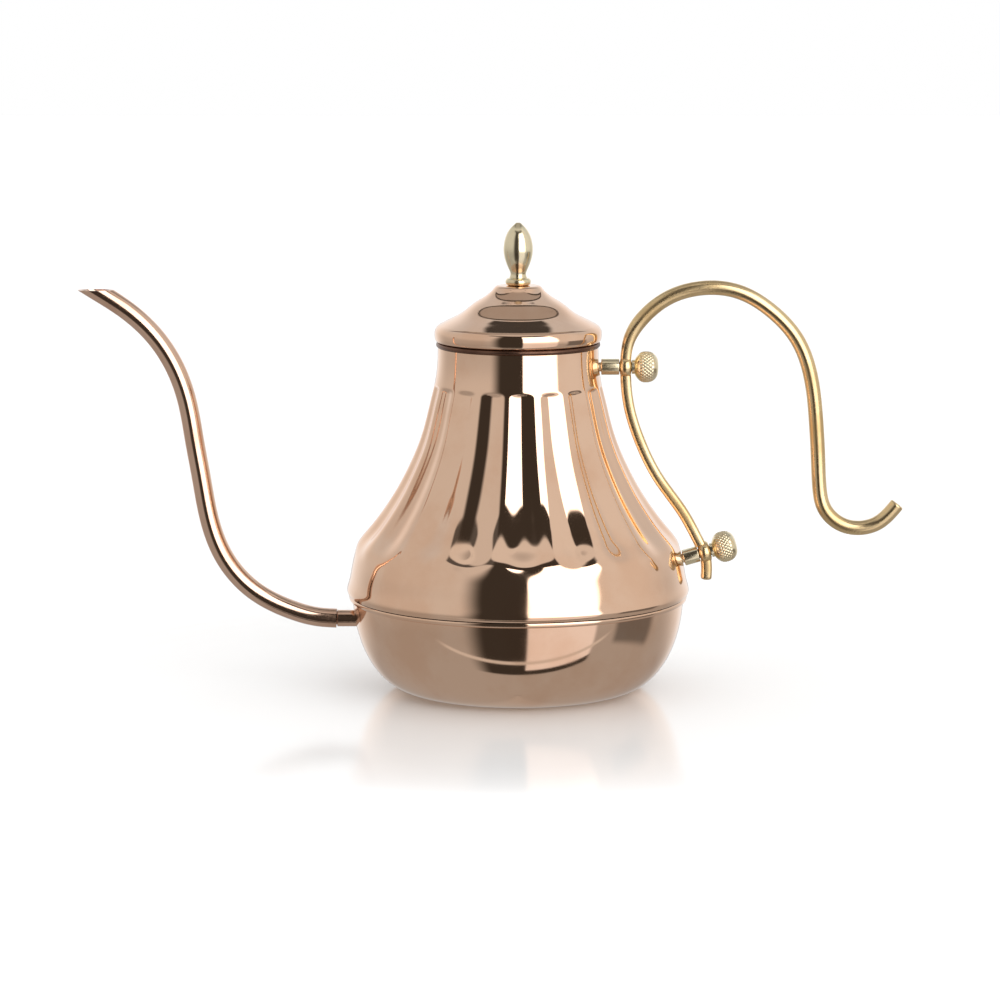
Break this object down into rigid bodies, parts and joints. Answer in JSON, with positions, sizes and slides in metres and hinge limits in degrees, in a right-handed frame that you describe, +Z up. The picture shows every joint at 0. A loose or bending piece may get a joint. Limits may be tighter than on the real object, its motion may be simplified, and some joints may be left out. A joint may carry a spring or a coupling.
{
  "type": "gooseneck pour-over kettle",
  "caption": "Copper-coloured gooseneck pour-over kettle with a fluted bell body, a lift-off domed lid with a brass finial, and a bent-rod brass handle held by thumbscrews.",
  "frame": {"origin": "centre of the flat base the kettle stands on", "axes": "+Z up the kettle's axis, +X towards the handle, -X towards the spout, +Y to the kettle's left when it is held by the handle"},
  "size_m": [0.3155, 0.1314, 0.1795],
  "materials": {
    "copper": "polished rose-copper plating",
    "brass": "polished yellow brass",
    "steel": "plain stainless"
  },
  "bodies": {
    "kettle": {"bell_shell": "copper", "bowl_shell": "copper", "seam_bead": "copper", "mouth_rim": "copper", "spout_tube": "copper", "spout_nipple": "copper", "upper_post": "brass", "upper_post_washer": "steel", "lower_post": "brass", "lower_post_washer": "steel", "handle_rod": "brass"},
    "lid_lifter": {"lid_collar": "copper"},
    "lid": {"lid_shell": "copper", "finial_collar": "brass", "finial": "brass", "finial_washer": "steel", "finial_screw": "steel"},
    "upper_screw_slider": {"upper_screw_stud": "brass"},
    "upper_screw": {"upper_screw_head": "brass"},
    "lower_screw_slider": {"lower_screw_stud": "brass"},
    "lower_screw": {"lower_screw_head": "brass"}
  },
  "joints": [
    {"name": "lid_lift", "type": "slide", "parent": "kettle", "child": "lid_lifter", "axis": [0, 0, 1], "range_m": [0, 0.08]},
    {"name": "lid_turn", "type": "hinge", "parent": "lid_lifter", "child": "lid", "pos_m": [0, 0, 0.14], "axis": [0, 0, 1], "continuous": true},
    {"name": "upper_screw_out", "type": "slide", "parent": "kettle", "child": "upper_screw_slider", "axis": [1, 0, 0], "range_m": [0, 0.00425]},
    {"name": "upper_screw_turn", "type": "hinge", "parent": "upper_screw_slider", "child": "upper_screw", "pos_m": [0.0411, 0, 0.1243], "axis": [1, 0, 0], "range_deg": [0, 2160]},
    {"name": "lower_screw_out", "type": "slide", "parent": "kettle", "child": "lower_screw_slider", "axis": [0.9613, 0, 0.2756], "range_m": [0, 0.00425]},
    {"name": "lower_screw_turn", "type": "hinge", "parent": "lower_screw_slider", "child": "lower_screw", "pos_m": [0.0719, 0, 0.0525], "axis": [0.9613, 0, 0.2756], "range_deg": [0, 2160]}
  ],
  "couplings": [
    {"joint": "upper_screw_out", "follows": "upper_screw_turn", "m_per_rad": 0.00011141},
    {"joint": "lower_screw_out", "follows": "lower_screw_turn", "m_per_rad": 0.00011141}
  ]
}
